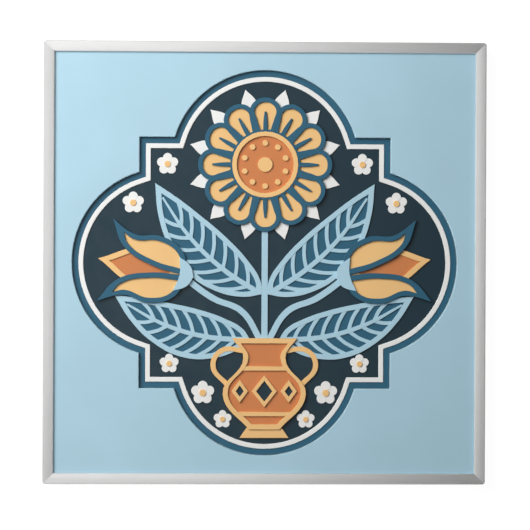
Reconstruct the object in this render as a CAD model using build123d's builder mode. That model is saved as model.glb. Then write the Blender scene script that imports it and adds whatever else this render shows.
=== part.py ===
"""Square picture tile in a mitred metal frame, lying on its back with the picture up.

Millimetres. The origin is on the floor under the middle of the tile, +Z is up out of the picture,
and +Y runs towards the top of the picture.
"""

import os

from build123d import *

# Tile: a pressed ceramic slab with a sunk picture field in its face and keying pockets in its back
tile_side = 152.0
tile_thickness = 6.4
tile_corner_radius = 1.5
face_edge_radius = 0.8

# Picture field: four round lobes, with the corners of a square standing out between them
picture_margin = 6.2
picture_depth = 2.0
picture_edge_radius = 0.3
lobe_radius = 33.0
barb_reach = 44.0

# Keying pockets, in square rows with ribs between them and a plain border round them
key_size = 21.4
key_rib = 2.8
key_border = 4.5
key_depth = 0.6
key_corner_radius = 1.5

# Frame: four lengths of one channel section, mitred at the corners
frame_wall = 1.2
frame_corner_cut = 0.8
front_lip_width = 3.8
front_lip_edge = 1.0
front_lip_rise = 0.25
front_lip_bulge = 0.22
shoulder_radius = 0.5
nose_radius = 0.4
rear_lip_width = 4.6
rear_lip_thickness = 1.0
rear_edge_radius = 0.4

# Room for the tile in the channel
side_gap = 0.3
face_gap = 0.15

# Places that follow from the sizes above
frame_side = tile_side + 2 * (side_gap + frame_wall)
tile_back_z = rear_lip_thickness
tile_face_z = tile_back_z + tile_thickness
front_lip_z = tile_face_z + face_gap
front_edge_z = front_lip_z + front_lip_edge
shoulder_z = front_edge_z + front_lip_rise
crown_z = (front_edge_z + shoulder_z) / 2 + front_lip_bulge
window_half = frame_side / 2 - front_lip_width
lobe_offset = window_half - picture_margin - lobe_radius
key_pitch = key_size + key_rib
key_rows = int((tile_side - 2 * key_border + key_rib) // key_pitch)


# Tile
with BuildPart() as tile:
    with BuildSketch(Plane.XY.offset(tile_back_z)):
        RectangleRounded(tile_side, tile_side, tile_corner_radius)
    extrude(amount=tile_thickness)
    fillet(tile.faces().sort_by(Axis.Z)[-1].edges(), face_edge_radius)

    with BuildSketch(Plane.XY.offset(tile_face_z)):
        Rectangle(2 * barb_reach, 2 * barb_reach)
        with PolarLocations(lobe_offset, 4):
            Circle(lobe_radius)
    extrude(amount=-picture_depth, mode=Mode.SUBTRACT)
    picture_rim = tile.faces().sort_by(Axis.Z)[-1].inner_wires()[0]
    fillet(picture_rim.edges(), picture_edge_radius)

    with BuildSketch(Plane.XY.offset(tile_back_z)):
        with GridLocations(key_pitch, key_pitch, key_rows, key_rows):
            RectangleRounded(key_size, key_size, key_corner_radius)
    extrude(amount=key_depth, mode=Mode.SUBTRACT)


# Frame rail: the channel section, drawn inwards from its outer face, along the picture's lower edge
section_plane = Plane(origin=(0, -frame_side / 2, 0), x_dir=(0, 1, 0), z_dir=(1, 0, 0))
with BuildPart() as rail:
    with BuildSketch(section_plane) as section:
        with BuildLine():
            crown = ThreePointArc(
                (0, shoulder_z),
                (front_lip_width / 2, crown_z),
                (front_lip_width, front_edge_z),
            )
            Polyline(
                crown @ 1,
                (front_lip_width, front_lip_z),
                (frame_wall, front_lip_z),
                (frame_wall, rear_lip_thickness),
                (rear_lip_width, rear_lip_thickness),
                (rear_lip_width, 0),
                (0, 0),
                crown @ 0,
            )
        make_face()
        fillet(section.vertices().sort_by_distance((front_lip_width, front_lip_z))[:2], nose_radius)
        fillet(section.vertices().group_by(Axis.X)[0].sort_by(Axis.Y)[0], rear_edge_radius)
        fillet(section.vertices().group_by(Axis.X)[0].sort_by(Axis.Y)[-1], shoulder_radius)
    extrude(amount=frame_side / 2, both=True)

    # Mitres: the rail keeps the quarter of the square that lies towards its own edge, and the frame's
    # corners are cut off a little, half on each of the two rails that meet there
    for side in (1, -1):
        split(bisect_by=Plane(origin=(0, 0, 0), z_dir=(side, 1, 0)), keep=Keep.BOTTOM)
        corner_cut_start = (side * frame_side / 2, frame_corner_cut - frame_side / 2, 0)
        split(bisect_by=Plane(origin=corner_cut_start, z_dir=(side, -1, 0)), keep=Keep.BOTTOM)


# Pieces
os.makedirs("parts", exist_ok=True)

tile.part.label = "tile"
export_step(tile.part, "parts/tile.step")

for turn, rail_name in enumerate(("bottom_rail", "right_rail", "top_rail", "left_rail")):
    with BuildPart() as placed_rail:
        add(rail.part, rotation=(0, 0, 90 * turn))
    placed_rail.part.label = rail_name
    export_step(placed_rail.part, f"parts/{rail_name}.step")
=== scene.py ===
import math

import bmesh
import bpy
from mathutils import Matrix, Vector


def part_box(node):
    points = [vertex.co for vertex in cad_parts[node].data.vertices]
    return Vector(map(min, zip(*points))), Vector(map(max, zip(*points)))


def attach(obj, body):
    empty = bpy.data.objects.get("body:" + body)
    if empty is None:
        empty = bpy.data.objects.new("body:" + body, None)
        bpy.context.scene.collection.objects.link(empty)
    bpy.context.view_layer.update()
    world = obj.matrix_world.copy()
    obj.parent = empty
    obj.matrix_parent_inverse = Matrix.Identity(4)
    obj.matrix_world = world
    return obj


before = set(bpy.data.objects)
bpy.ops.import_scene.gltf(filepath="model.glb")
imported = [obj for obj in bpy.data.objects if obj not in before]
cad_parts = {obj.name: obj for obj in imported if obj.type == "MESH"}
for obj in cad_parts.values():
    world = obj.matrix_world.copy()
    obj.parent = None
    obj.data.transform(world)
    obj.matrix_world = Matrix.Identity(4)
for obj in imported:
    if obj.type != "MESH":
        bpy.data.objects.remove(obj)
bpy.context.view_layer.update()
mm = 0.001
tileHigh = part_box("tile")[1]
acrossRails = ("top_rail", "bottom_rail")
uprightRails = ("left_rail", "right_rail")


# Materials

glazeColours = {  # sRGB, as seen in even light
    "paleBlue": (0.675, 0.81, 0.87),
    "slate": (0.11, 0.19, 0.23),
    "teal": (0.17, 0.36, 0.45),
    "sand": (0.94, 0.76, 0.51),
    "terracotta": (0.80, 0.50, 0.30),
    "white": (0.93, 0.93, 0.92),
}


def linear(colour):
    return tuple(c / 12.92 if c <= 0.04045 else ((c + 0.055) / 1.055) ** 2.4 for c in colour)


def shaded(colour, share):
    return tuple(c * share for c in colour) + (1,)


def newMaterial(name):
    material = bpy.data.materials.new(name)
    material.use_nodes = True
    nodes, links = material.node_tree.nodes, material.node_tree.links
    return material, nodes, links, nodes["Principled BSDF"]


noiseSpread = (0.3, 0.7)  # where nearly all of a noise texture's values lie


def noiseNode(nodes, links, coords, scale, detail):
    noise = nodes.new("ShaderNodeTexNoise")
    noise.inputs["Scale"].default_value = scale
    noise.inputs["Detail"].default_value = detail
    links.new(coords, noise.inputs["Vector"])
    return noise.outputs["Fac"]


def rampNode(nodes, links, fac, low, high, lowColour, highColour):
    ramp = nodes.new("ShaderNodeValToRGB")
    first, last = ramp.color_ramp.elements
    first.position, last.position = low, high
    first.color, last.color = lowColour, highColour
    links.new(fac, ramp.inputs["Fac"])
    return ramp.outputs["Color"]


def spreadNode(nodes, links, value, low, high, lowResult, highResult):
    spread = nodes.new("ShaderNodeMapRange")
    ends = {"From Min": low, "From Max": high, "To Min": lowResult, "To Max": highResult}
    for socket, number in ends.items():
        spread.inputs[socket].default_value = number
    links.new(value, spread.inputs["Value"])
    return spread.outputs["Result"]


def mixColours(nodes, links, fac, first, second):
    mix = nodes.new("ShaderNodeMix")
    mix.data_type = "RGBA"
    links.new(fac, mix.inputs[0])
    links.new(first, mix.inputs[6])
    links.new(second, mix.inputs[7])
    return mix.outputs[2]


def bumpNode(nodes, links, height, strength, distance):
    bump = nodes.new("ShaderNodeBump")
    bump.inputs["Strength"].default_value = strength
    bump.inputs["Distance"].default_value = distance
    links.new(height, bump.inputs["Height"])
    return bump.outputs["Normal"]


glazeFinish = {
    "cloudScale": 45,       # soft patches about 20 mm across
    "cloudShade": 0.95,
    "rippleScale": 260,     # gentle waviness of the fired surface
    "rippleHeight": 0.04 * mm,
    "rippleBump": 0.25,
    "rough": (0.36, 0.48),  # lowest and highest
    "specular": 0.28,
}


def glazeTint(nodes, links, coords, colour):
    base = linear(colour)
    cloud = noiseNode(nodes, links, coords, glazeFinish["cloudScale"], 4)
    dark = shaded(base, glazeFinish["cloudShade"])
    return rampNode(nodes, links, cloud, *noiseSpread, dark, shaded(base, 1))


def glazeRipple(nodes, links, coords, skin):
    ripple = noiseNode(nodes, links, coords, glazeFinish["rippleScale"], 3)
    bump = bumpNode(nodes, links, ripple, glazeFinish["rippleBump"], glazeFinish["rippleHeight"])
    links.new(bump, skin.inputs["Normal"])
    skin.inputs["Specular IOR Level"].default_value = glazeFinish["specular"]
    return ripple


def glazeMaterial(name, colour):
    material, nodes, links, skin = newMaterial(name)
    coords = nodes.new("ShaderNodeTexCoord").outputs["Object"]
    links.new(glazeTint(nodes, links, coords, colour), skin.inputs["Base Color"])
    ripple = glazeRipple(nodes, links, coords, skin)
    rough = spreadNode(nodes, links, ripple, *noiseSpread, *glazeFinish["rough"])
    links.new(rough, skin.inputs["Roughness"])
    return material


glazes = {name: glazeMaterial(name + "Glaze", colour) for name, colour in glazeColours.items()}

biscuitFinish = {
    "colour": (0.86, 0.81, 0.73),
    "speckScale": 900,      # grog specks in the fired clay
    "speckShade": 0.86,
    "speckSpread": (0.35, 0.6),
    "rough": 0.85,
    "glazeLine": 6.1 * mm,  # the glaze runs down the tile's edge to about this height
    "glazeWander": 0.8 * mm,
    "wanderScale": 120,
    "glazeFade": 0.1 * mm,
}


def tileMaterial(name):
    material, nodes, links, skin = newMaterial(name)
    coords = nodes.new("ShaderNodeTexCoord").outputs["Object"]
    parts = nodes.new("ShaderNodeSeparateXYZ")
    links.new(coords, parts.inputs[0])
    wander = noiseNode(nodes, links, coords, biscuitFinish["wanderScale"], 2)
    drop = spreadNode(nodes, links, wander, 0, 1, 0, biscuitFinish["glazeWander"])
    height = nodes.new("ShaderNodeMath")
    height.operation = "ADD"
    links.new(parts.outputs["Z"], height.inputs[0])
    links.new(drop, height.inputs[1])
    shore = biscuitFinish["glazeLine"] + biscuitFinish["glazeWander"] / 2
    inland = shore + biscuitFinish["glazeFade"]
    glazed = spreadNode(nodes, links, height.outputs[0], shore, inland, 0, 1)

    clay = linear(biscuitFinish["colour"])
    speck = noiseNode(nodes, links, coords, biscuitFinish["speckScale"], 3)
    darkClay = shaded(clay, biscuitFinish["speckShade"])
    clayTint = rampNode(nodes, links, speck, *biscuitFinish["speckSpread"], darkClay, shaded(clay, 1))
    glazeTone = glazeTint(nodes, links, coords, glazeColours["paleBlue"])
    links.new(mixColours(nodes, links, glazed, clayTint, glazeTone), skin.inputs["Base Color"])
    glazeRough = sum(glazeFinish["rough"]) / 2
    rough = spreadNode(nodes, links, glazed, 0, 1, biscuitFinish["rough"], glazeRough)
    links.new(rough, skin.inputs["Roughness"])
    glazeRipple(nodes, links, coords, skin)
    return material


railFinish = {
    "colour": (0.957, 0.955, 0.953),
    "lineScale": 5200,      # drawn lines along the rail
    "lineStretch": 0.012,
    "lineShade": 0.94,
    "lineHeight": 0.01 * mm,
    "lineBump": 0.15,
    "grain": 0.70,          # how far the drawn lines spread a highlight across the rail
    "rough": (0.54, 0.62),
}


def railMaterial(name, stretch, across):
    material, nodes, links, skin = newMaterial(name)
    coords = nodes.new("ShaderNodeTexCoord").outputs["Object"]
    mapping = nodes.new("ShaderNodeMapping")
    mapping.inputs["Scale"].default_value = stretch
    links.new(coords, mapping.inputs["Vector"])
    drawn = noiseNode(nodes, links, mapping.outputs["Vector"], railFinish["lineScale"], 2)
    base = linear(railFinish["colour"])
    dark = shaded(base, railFinish["lineShade"])
    tint = rampNode(nodes, links, drawn, *noiseSpread, dark, shaded(base, 1))
    links.new(tint, skin.inputs["Base Color"])
    rough = spreadNode(nodes, links, drawn, *noiseSpread, *railFinish["rough"])
    links.new(rough, skin.inputs["Roughness"])
    bump = bumpNode(nodes, links, drawn, railFinish["lineBump"], railFinish["lineHeight"])
    links.new(bump, skin.inputs["Normal"])
    skin.inputs["Metallic"].default_value = 1
    skin.inputs["Anisotropic"].default_value = railFinish["grain"]
    spread = nodes.new("ShaderNodeCombineXYZ")
    for socket, number in zip(spread.inputs, across):
        socket.default_value = number
    links.new(spread.outputs[0], skin.inputs["Tangent"])
    return material


def dressNodes(names, material):
    for name in names:
        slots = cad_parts[name].data.materials
        slots.clear()
        slots.append(material)


dressNodes(acrossRails, railMaterial("railMetalAcross", (railFinish["lineStretch"], 1, 1), (0, 1, 0)))
dressNodes(uprightRails, railMaterial("railMetalUpright", (1, railFinish["lineStretch"], 1), (1, 0, 0)))
dressNodes(("tile",), tileMaterial("tileGlazeAndBiscuit"))
print("materials ready")


# Picture: plates of glaze in low relief, standing in the tile's sunk field

picture = {
    "depth": 2.0,           # mm from the tile's face to the floor of the field
    "step": 0.03,           # neighbours that overlap differ by this much
    "sunk": 0.1,            # each plate is let into what it stands on
    "edge": 0.08,           # rounding of the plates' edges
    "points": 8,            # on each stretch of an outline
    "lineWidth": 1.8,
}
levels = {  # mm above the floor of the field
    "ground": 0.15,
    "margin": 0.25,
    "fill": 0.30,           # leaves and tulip hearts
    "blossom": 0.55,
    "border": 0.60,
    "rosettePoint": 0.65,
    "vein": 0.73,
    "stem": 0.75,
    "rib": 0.80,            # middle stem and the leaves' middles
    "heartLine": 0.83,
    "line": 0.85,
    "frontBed": 0.85,       # the front outlines start a little below the fills they run round
    "frontFill": 0.90,      # the flowers and the vase stand in front of the leaves
    "inlay": 0.98,
    "frontHeart": 1.00,     # rosette's heart and the vase's handles
    "foot": 1.10,
    "frontDetail": 1.65,
    "frontRim": 1.70,
    "frontLine": 1.75,
    "calyx": 1.85,
    "top": 1.95,
}
lineWidth = picture["lineWidth"]
fieldFloor = tileHigh.z - picture["depth"] * mm


def soft(x, y):
    return (x, y, "AUTO")


def sharp(x, y):
    return (x, y, "VECTOR")


def placed(outline, at=(0, 0), turn=0, size=1):
    c, s = math.cos(turn) * size, math.sin(turn) * size
    return [(at[0] + c * x - s * y, at[1] + s * x + c * y, kind) for x, y, kind in outline]


def mirrored(outline):
    return [(-x, y, kind) for x, y, kind in reversed(outline)]


def both(outlines):
    return outlines + [mirrored(outline) for outline in outlines]


def around(at, outline, count, radius, start=0):
    turns = [start + 2 * math.pi * i / count for i in range(count)]
    return [
        placed(outline, at=(at[0] - radius * math.sin(a), at[1] + radius * math.cos(a)), turn=a)
        for a in turns
    ]


def inset(outline, width):
    moved = []
    for i, (x, y, kind) in enumerate(outline):
        here = Vector((x, y))
        before = (here - Vector(outline[i - 1][:2])).normalized()
        after = (Vector(outline[(i + 1) % len(outline)][:2]) - here).normalized()
        along = (before + after).normalized()
        inward = Vector((-along.y, along.x))
        reach = width
        if kind == "VECTOR":
            reach = width / max(0.3, inward.dot(Vector((-before.y, before.x))))
        here += inward * reach
        moved.append((here.x, here.y, kind))
    return moved


def ring(outline, width):
    return [outline, inset(outline, width)[::-1]]


def under(outlines):
    return [inset(outline, lineWidth / 3) for outline in outlines]      # its edge stays under the ring


def stroke(path, widths):
    left, right = [], []
    for i, (x, y) in enumerate(path):
        here = Vector((x, y))
        before = Vector(path[max(i - 1, 0)])
        after = Vector(path[min(i + 1, len(path) - 1)])
        along = ((here - before).normalized() + (after - here).normalized()).normalized()
        out = Vector((along.y, -along.x)) * widths[i] / 2
        kind = "VECTOR" if i in (0, len(path) - 1) else "AUTO"
        right.append((x + out.x, y + out.y, kind))
        left.append((x - out.x, y - out.y, kind))
    return right + left[::-1]


def disc(x, y, radius):
    return [soft(x + radius * c, y + radius * s) for c, s in ((1, 0), (0, 1), (-1, 0), (0, -1))]


def lozenge(x, y, half, tall):
    return [sharp(x, y - tall), sharp(x + half, y), sharp(x, y + tall), sharp(x - half, y)]


def addPlate(bm, outlines, low, high):
    edge = picture["edge"] * mm
    curve = bpy.data.curves.new("outline", "CURVE")
    curve.dimensions = "2D"
    curve.fill_mode = "BOTH"
    curve.resolution_u = picture["points"]
    curve.extrude = (high - low) / 2 * mm - edge
    curve.bevel_depth = edge
    curve.bevel_resolution = 1
    curve.offset = -edge
    for outline in outlines:
        spline = curve.splines.new("BEZIER")
        spline.bezier_points.add(len(outline) - 1)
        spline.use_cyclic_u = True
        for point, (x, y, kind) in zip(spline.bezier_points, outline):
            point.co = (x * mm, y * mm, 0)
            point.handle_left_type = kind
            point.handle_right_type = kind
    shape = bpy.data.objects.new("outline", curve)
    bpy.context.scene.collection.objects.link(shape)
    bpy.context.view_layer.update()
    depsgraph = bpy.context.evaluated_depsgraph_get()
    mesh = bpy.data.meshes.new_from_object(shape.evaluated_get(depsgraph))
    mesh.transform(Matrix.Translation((0, 0, fieldFloor + (low + high) / 2 * mm)))
    bm.from_mesh(mesh)
    bpy.data.objects.remove(shape)
    bpy.data.curves.remove(curve)
    bpy.data.meshes.remove(mesh)


def finishPiece(name, bm, glaze):
    bmesh.ops.remove_doubles(bm, verts=bm.verts, dist=1e-6)
    bmesh.ops.recalc_face_normals(bm, faces=bm.faces)
    mesh = bpy.data.meshes.new(name)
    bm.to_mesh(mesh)
    bm.free()
    mesh.materials.append(glazes[glaze])
    piece = bpy.data.objects.new(name, mesh)
    bpy.context.scene.collection.objects.link(piece)
    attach(piece, "root")


def reliefPiece(name, glaze, shapes, low, high, steps=1):
    bm = bmesh.new()
    for i, shape in enumerate(shapes):
        outlines = shape if isinstance(shape[0], list) else [shape]
        addPlate(bm, outlines, levels[low] - picture["sunk"], levels[high] - picture["step"] * (i % steps))
    finishPiece(name, bm, glaze)


# Ground of the field, and the lines that run round it

bands = {  # distance in from the field's edge and width, mm
    "margin": (0, 2.2),
    "border": (2.2, 1.7),
    "edge": 0.15,
}


def fieldFace():
    bm = bmesh.new()
    bm.from_mesh(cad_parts["tile"].data)
    bmesh.ops.remove_doubles(bm, verts=bm.verts, dist=1e-6)
    others = [
        f for f in bm.faces
        if f.normal.z < 0.9 or abs(f.calc_center_median().z - fieldFloor) > 0.1 * mm
    ]
    bmesh.ops.delete(bm, geom=others, context="FACES")
    bmesh.ops.dissolve_limit(bm, angle_limit=math.radians(1), verts=bm.verts, edges=bm.edges)
    return bm


def insetField(bm, width):
    return bmesh.ops.inset_region(
        bm, faces=list(bm.faces), thickness=width * mm, use_even_offset=True, use_boundary=True
    )["faces"]


def raiseFaces(bm, height):
    raised = bmesh.ops.extrude_face_region(bm, geom=list(bm.faces), use_keep_orig=True)["geom"]
    risen = [v for v in raised if isinstance(v, bmesh.types.BMVert)]
    bmesh.ops.translate(bm, verts=risen, vec=(0, 0, height * mm))
    return set(risen)


def groundPiece():
    bm = fieldFace()
    raiseFaces(bm, levels["ground"])
    finishPiece("picture_ground", bm, "slate")


def bandPiece(name, glaze, start, width, height):
    bm = fieldFace()
    if start:
        bmesh.ops.delete(bm, geom=insetField(bm, start), context="FACES")
    band = insetField(bm, width)
    bmesh.ops.delete(bm, geom=list(set(bm.faces) - set(band)), context="FACES")
    risen = raiseFaces(bm, height)
    topEdges = [e for e in bm.edges if set(e.verts) <= risen and len(e.link_faces) == 2]
    sharpEdges = [e for e in topEdges if e.calc_face_angle(0) > math.radians(60)]
    bmesh.ops.bevel(
        bm, geom=sharpEdges, offset=bands["edge"] * mm, offset_type="OFFSET", affect="EDGES",
        segments=2, profile=0.5, material=-1,
    )
    finishPiece(name, bm, glaze)


groundPiece()
bandPiece("picture_margin", "teal", *bands["margin"], levels["margin"])
bandPiece("picture_border", "white", *bands["border"], levels["border"])


# Stems and leaves

stems = {
    "middle": [(0, -28), (0, -10), (0, 10), (0, 34)],
    "side": [(1.5, -27), (8, -17), (18, -12.5), (28.5, -5)],
    "width": 2.2,
}
leaves = (  # base, turn in degrees from upright, length, half width, bend to the right, veins a side
    {"at": (5, -27), "turn": -72, "length": 50, "half": 8.8, "bend": 4.5, "veins": 7},
    {"at": (1, -11), "turn": -44, "length": 54, "half": 9.2, "bend": 4.5, "veins": 7},
)
leafShape = {
    "stations": (0.07, 0.22, 0.42, 0.64, 0.84),     # shares of the length where the outline has points
    "lean": 0.8,            # under 1 brings the widest place nearer to the base
    "blunt": 0.8,           # under 1 fills the ends out
    "ribStations": (0.03, 0.3, 0.6, 0.9),
    "ribWidths": (1.9, 1.7, 1.4, 0.7),
}
vein = {"width": 1.3, "first": 0.10, "last": 0.68, "rise": 0.13, "sag": (0.3, -0.5)}


def leafSpread(t):      # t runs from 0 at the leaf's base to 1 at its tip
    return math.sin(math.pi * t ** leafShape["lean"]) ** leafShape["blunt"]


def leafRib(leaf, t):
    return leaf["bend"] * 4 * t * (1 - t)


def leafOutline(leaf):
    sides = [
        (leafRib(leaf, t), leaf["half"] * leafSpread(t), t * leaf["length"]) for t in leafShape["stations"]
    ]
    right = [soft(middle + half, y) for middle, half, y in sides]
    left = [soft(middle - half, y) for middle, half, y in sides]
    return [sharp(0, 0)] + right + [sharp(0, leaf["length"])] + left[::-1]


def leafMiddle(leaf):
    path = [(leafRib(leaf, t), t * leaf["length"]) for t in leafShape["ribStations"]]
    return stroke(path, leafShape["ribWidths"])


def leafVeins(leaf):
    lines = []
    sagOut, sagDown = vein["sag"]
    for i in range(leaf["veins"]):
        start = vein["first"] + (vein["last"] - vein["first"]) * i / (leaf["veins"] - 1)
        end = start + vein["rise"]
        for side in (1, -1):
            root = Vector((leafRib(leaf, start), start * leaf["length"]))
            reach = leaf["half"] * leafSpread(end) - lineWidth / 2
            tip = Vector((leafRib(leaf, end) + side * reach, end * leaf["length"]))
            middle = (root + tip) / 2 + Vector((side * sagOut, sagDown))
            lines.append(stroke((root, middle, tip), (vein["width"],) * 3))
    return lines


def onLeaves(draw):
    shapes = []
    for leaf in leaves:
        shapes += [placed(o, at=leaf["at"], turn=math.radians(leaf["turn"])) for o in draw(leaf)]
    return both(shapes)


def leafPieces():
    middleStem = stroke(stems["middle"], (stems["width"],) * 4)
    sideStems = both([stroke(stems["side"], (stems["width"],) * 4)])
    blades = onLeaves(lambda leaf: [leafOutline(leaf)])
    middles = onLeaves(lambda leaf: [leafMiddle(leaf)])
    bladeLines = [ring(o, lineWidth) for o in blades]
    reliefPiece("stem_middle", "paleBlue", [middleStem], "ground", "rib")
    reliefPiece("stem_sides", "paleBlue", sideStems, "ground", "stem", steps=2)
    reliefPiece("leaf_blades", "teal", under(blades), "ground", "fill")
    reliefPiece("leaf_outlines", "paleBlue", bladeLines, "fill", "line")
    reliefPiece("leaf_middles", "paleBlue", middles, "fill", "rib")
    reliefPiece("leaf_veins", "paleBlue", onLeaves(leafVeins), "fill", "vein")


leafPieces()


# Tulips at the sides

tulip = {
    "at": (27.5, -4.6),
    "turn": -79,
    "petal": [
        sharp(0, 0), soft(7.9, 2.7), soft(11.9, 11.3), soft(10.8, 20.2), sharp(14.6, 29.0),
        soft(5.8, 23.4), soft(1.3, 12.6),
    ],
    "heart": [sharp(0, 2.5), soft(6.8, 15.1), sharp(0, 31.5), soft(-6.8, 15.1)],
    "heartLine": 1.5,
    "calyx": [
        sharp(0, -2.6), soft(3.6, -0.8), sharp(6.0, 3.6), soft(0, 2.4), sharp(-6.0, 3.6), soft(-3.6, -0.8),
    ],
}


def tulipPieces():
    spot = {"at": tulip["at"], "turn": math.radians(tulip["turn"])}
    petals = both([placed(o, **spot) for o in both([tulip["petal"]])])
    hearts = both([placed(tulip["heart"], **spot)])
    calyces = both([placed(tulip["calyx"], **spot)])
    heartLines = [ring(o, tulip["heartLine"]) for o in hearts]
    petalLines = [ring(o, lineWidth) for o in petals]
    reliefPiece("tulip_hearts", "terracotta", under(hearts), "ground", "fill")
    reliefPiece("tulip_heart_outlines", "sand", heartLines, "fill", "heartLine")
    reliefPiece("tulip_petals", "sand", under(petals), "ground", "frontFill", steps=2)
    reliefPiece("tulip_outlines", "teal", petalLines, "frontBed", "frontLine", steps=2)
    reliefPiece("tulip_calyces", "paleBlue", calyces, "ground", "calyx")


tulipPieces()


# Rosette at the top

rosette = {
    "at": (0, 34.5),
    "petals": 12,
    "inner": 10.6,          # the petals end under the heart's rim
    "base": 3.0,            # half width there
    "outer": 23.5,
    "half": 5.4,
    "side": ((0.86, 0.39), (1, 0.67), (0.62, 0.92)),    # shares of the half width and the length
    "line": 1.6,
    "seam": [(0, 0.4), (0, 4.4), (0, 8.0)],
    "seamWidths": (1.5, 1.4, 0.6),
    "tipInner": 13.0,       # white points that show between the petals
    "tipOuter": 27.2,
    "tipHalf": 2.8,
    "tipWidest": 0.6,       # share of the length
    "heart": 11.6,
    "dots": 10,
    "dot": 1.0,
    "dotRing": 7.54,
    "middleDot": 2.6,
}


def rosettePieces():
    at, count = rosette["at"], rosette["petals"]
    half, long = rosette["half"], rosette["outer"] - rosette["inner"]
    petalSide = [sharp(rosette["base"], 0)] + [soft(half * x, long * y) for x, y in rosette["side"]]
    petal = petalSide + [soft(0, long)] + mirrored(petalSide)
    petals = around(at, petal, count, rosette["inner"])
    petalLines = [ring(o, rosette["line"]) for o in petals]
    seam = stroke(rosette["seam"], rosette["seamWidths"])
    seams = around(at, seam, count, rosette["inner"])
    tipHalf, tipLong = rosette["tipHalf"], rosette["tipOuter"] - rosette["tipInner"]
    tipWide = tipLong * rosette["tipWidest"]
    tip = [sharp(0, 0), soft(tipHalf, tipWide), sharp(0, tipLong), soft(-tipHalf, tipWide)]
    tips = around(at, tip, count, rosette["tipInner"], start=math.pi / count)
    heart = disc(*at, rosette["heart"])
    dots = around(at, disc(0, 0, rosette["dot"]), rosette["dots"], rosette["dotRing"])
    dots.append(disc(*at, rosette["middleDot"]))
    reliefPiece("rosette_points", "white", tips, "ground", "rosettePoint")
    reliefPiece("rosette_petals", "sand", under(petals), "ground", "frontFill", steps=2)
    reliefPiece("rosette_outlines", "teal", petalLines, "frontBed", "frontLine", steps=2)
    reliefPiece("rosette_seams", "teal", seams, "frontBed", "frontDetail")
    reliefPiece("rosette_heart", "terracotta", under([heart]), "ground", "frontHeart")
    reliefPiece("rosette_heart_rim", "sand", [ring(heart, rosette["line"])], "frontFill", "top")
    reliefPiece("rosette_heart_dots", "sand", dots, "frontFill", "frontDetail")


rosettePieces()


# Vase at the foot

vase = {
    "side": [sharp(5.4, -58.4), soft(14.6, -46.0), soft(7.4, -33.2), sharp(11.4, -26.4)],
    "foot": [sharp(8.6, -61.4), sharp(6.0, -57.6)],
    "handle": [(7.2, -30.8), (15.0, -30.8), (18.0, -36.2), (13.2, -42.6)],
    "bands": ((-53.0, 9.4), (-37.0, 8.2)),      # height, half length
    "bandWidth": 1.5,
    "lozenges": ((0, 4.4, 5.6), (8.6, 2.9, 4.0)),       # place, half width, half height
    "lozengeLine": -45.0,
    "lozengeRim": 1.2,
}


def vasePieces():
    body = vase["side"] + mirrored(vase["side"])
    foot = vase["foot"] + mirrored(vase["foot"])
    handles = both([stroke(vase["handle"], (lineWidth,) * 4)])
    stripes = [stroke([(-half, y), (half, y)], (vase["bandWidth"],) * 2) for y, half in vase["bands"]]
    lozenges = [
        lozenge(x * side, vase["lozengeLine"], half, tall)
        for x, half, tall in vase["lozenges"] for side in ((1, -1) if x else (1,))
    ]
    lozengeRims = [ring(o, vase["lozengeRim"]) for o in lozenges]
    reliefPiece("vase_handles", "sand", handles, "ground", "frontHeart")
    reliefPiece("vase_body", "terracotta", under([body]), "ground", "frontFill")
    reliefPiece("vase_foot", "sand", [foot], "ground", "foot")
    reliefPiece("vase_outline", "sand", [ring(body, lineWidth)], "frontBed", "frontLine")
    reliefPiece("vase_bands", "sand", stripes, "frontBed", "frontDetail")
    reliefPiece("vase_lozenges", "slate", lozenges, "frontBed", "inlay")
    reliefPiece("vase_lozenge_rims", "sand", lozengeRims, "frontFill", "frontRim")


vasePieces()


# White blossoms in the corners of the field

blossom = {
    "petals": 5,
    "petal": [sharp(0, 0.6), soft(2.2, 2.9), soft(0, 5.2), soft(-2.2, 2.9)],
    "heart": 1.5,
    "spots": (  # place and size
        (21.6, -45.6, 0.80), (14.6, -54.9, 0.62), (33.4, -35.4, 0.66),
        (34.2, 34.6, 0.74), (46.2, 21.0, 0.74),
    ),
}


def blossomPieces():
    petals, hearts = [], []
    turns = [2 * math.pi * i / blossom["petals"] for i in range(blossom["petals"])]
    for x, y, size in blossom["spots"]:
        petals += both([placed(blossom["petal"], at=(x, y), turn=a, size=size) for a in turns])
        hearts += both([disc(x, y, blossom["heart"] * size)])
    reliefPiece("blossom_petals", "white", petals, "ground", "blossom", steps=blossom["petals"])
    reliefPiece("blossom_hearts", "sand", hearts, "ground", "line")


blossomPieces()
print("picture relief ready")


# Stage: white floor, soft light from the upper left, camera above

stageLook = {
    "floorSize": 6.0,
    "floorGlow": 0.95,      # what the camera sees of the floor before any light falls on it
    "floorColour": 0.18,
    "floorMatte": 0.60,
    "ambient": 0.10,        # what the surroundings give to matt surfaces
    "overhead": 0.09,       # what shiny surfaces mirror of the room where it is dark
    "darkSide": (0.35, 0.15, 1.0),          # which way that is: above, and a little to the right
    "darkFade": (0.03, 0.45),               # how the room goes from white to dark on the way there
    "keyPlace": (-0.273, 0.203, 0.400),     # lights the glaze and draws the shadows
    "keySize": (0.36, 0.36),
    "keyPower": 3.33,
    "panelPlace": (-0.136, 0.213, 0.380),   # hangs level, and is only mirrored, by metal and glaze
    "panelSize": (0.36, 0.70),
    "panelPower": 1.39,
}


def anyOf(nodes, links, sockets):
    reached = sockets[0]
    for socket in sockets[1:]:
        either = nodes.new("ShaderNodeMath")
        either.operation = "MAXIMUM"
        links.new(reached, either.inputs[0])
        links.new(socket, either.inputs[1])
        reached = either.outputs[0]
    return reached


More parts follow.
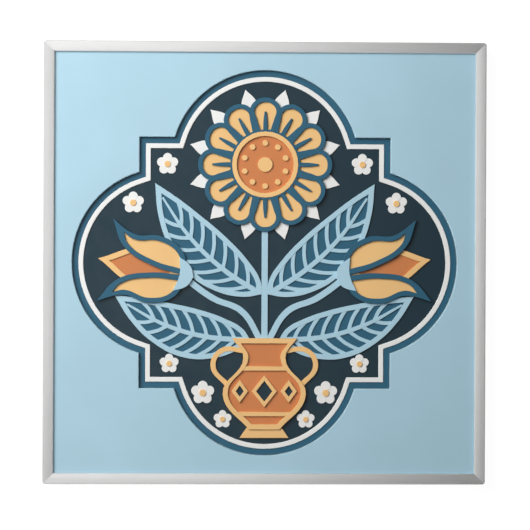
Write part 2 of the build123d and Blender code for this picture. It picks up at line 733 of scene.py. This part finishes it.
def whiteFloor():
    bm = bmesh.new()
    bmesh.ops.create_grid(bm, x_segments=1, y_segments=1, size=stageLook["floorSize"] / 2)
    mesh = bpy.data.meshes.new("floor")
    bm.to_mesh(mesh)
    bm.free()
    floor = bpy.data.objects.new("floor", mesh)
    bpy.context.scene.collection.objects.link(floor)
    material, nodes, links, skin = newMaterial("floorWhite")
    nodes.remove(skin)
    path = nodes.new("ShaderNodeLightPath").outputs
    seen = anyOf(nodes, links, [path[k] for k in ("Is Camera Ray", "Is Glossy Ray", "Is Transmission Ray")])
    glow = nodes.new("ShaderNodeEmission")
    glow.inputs["Strength"].default_value = stageLook["floorGlow"]
    shadowed = nodes.new("ShaderNodeBsdfDiffuse")
    shadowed.inputs["Color"].default_value = (stageLook["floorColour"],) * 3 + (1,)
    lit = nodes.new("ShaderNodeAddShader")
    links.new(glow.outputs[0], lit.inputs[0])
    links.new(shadowed.outputs[0], lit.inputs[1])
    plain = nodes.new("ShaderNodeBsdfDiffuse")
    plain.inputs["Color"].default_value = (stageLook["floorMatte"],) * 3 + (1,)
    choose = nodes.new("ShaderNodeMixShader")
    links.new(seen, choose.inputs["Fac"])
    links.new(plain.outputs[0], choose.inputs[1])
    links.new(lit.outputs[0], choose.inputs[2])
    links.new(choose.outputs[0], nodes["Material Output"].inputs["Surface"])
    mesh.materials.append(material)


def studioWorld():
    world = bpy.data.worlds.new("studio")
    bpy.context.scene.world = world
    world.use_nodes = True
    nodes, links = world.node_tree.nodes, world.node_tree.links
    ambient = nodes["Background"]
    ambient.inputs["Color"].default_value = (1, 1, 1, 1)
    ambient.inputs["Strength"].default_value = stageLook["ambient"]
    facing = nodes.new("ShaderNodeVectorMath")
    facing.operation = "DOT_PRODUCT"
    facing.inputs[1].default_value = stageLook["darkSide"]
    links.new(nodes.new("ShaderNodeTexCoord").outputs["Generated"], facing.inputs[0])
    graded = nodes.new("ShaderNodeBackground")
    links.new(
        spreadNode(nodes, links, facing.outputs["Value"], *stageLook["darkFade"], 1, stageLook["overhead"]),
        graded.inputs["Strength"],
    )
    white = nodes.new("ShaderNodeBackground")
    for background in (graded, white):
        background.inputs["Color"].default_value = (1, 1, 1, 1)
    path = nodes.new("ShaderNodeLightPath").outputs
    glossy = anyOf(nodes, links, [path["Is Glossy Ray"], path["Is Transmission Ray"]])
    lighting = nodes.new("ShaderNodeMixShader")
    links.new(glossy, lighting.inputs["Fac"])
    links.new(ambient.outputs[0], lighting.inputs[1])
    links.new(graded.outputs[0], lighting.inputs[2])
    shown = nodes.new("ShaderNodeMixShader")
    links.new(path["Is Camera Ray"], shown.inputs["Fac"])
    links.new(lighting.outputs[0], shown.inputs[1])
    links.new(white.outputs[0], shown.inputs[2])
    links.new(shown.outputs[0], nodes["World Output"].inputs["Surface"])


def softBox(name, aim, onlyMirrored):
    lamp = bpy.data.lights.new(name, "AREA")
    lamp.shape = "RECTANGLE"
    lamp.size, lamp.size_y = stageLook[name + "Size"]
    lamp.energy = stageLook[name + "Power"]
    light = bpy.data.objects.new(name, lamp)
    light.location = stageLook[name + "Place"]
    light.rotation_euler = aim.to_track_quat("-Z", "Y").to_euler()
    light.visible_glossy = onlyMirrored
    light.visible_diffuse = not onlyMirrored
    bpy.context.scene.collection.objects.link(light)


cameraLook = {
    "place": (-0.0209, 0.0022, 0.80),
    "lens": 153.72,
    "sensor": 36,
    "turns": (("Y", -1.514), ("X", -0.210), ("Z", 0.237)),      # yaw, pitch and roll in degrees
}


def pictureCamera():
    lensData = bpy.data.cameras.new("camera")
    lensData.lens = cameraLook["lens"]
    lensData.sensor_width = cameraLook["sensor"]
    camera = bpy.data.objects.new("camera", lensData)
    stand = Matrix.Translation(cameraLook["place"])
    for axis, degrees in cameraLook["turns"]:
        stand = stand @ Matrix.Rotation(math.radians(degrees), 4, axis)
    camera.matrix_world = stand
    bpy.context.scene.collection.objects.link(camera)
    bpy.context.scene.camera = camera


whiteFloor()
studioWorld()
softBox("key", -Vector(stageLook["keyPlace"]), False)
softBox("panel", Vector((0, 0, -1)), True)
pictureCamera()
bpy.context.scene.view_settings.view_transform = "Standard"
print("stage ready")
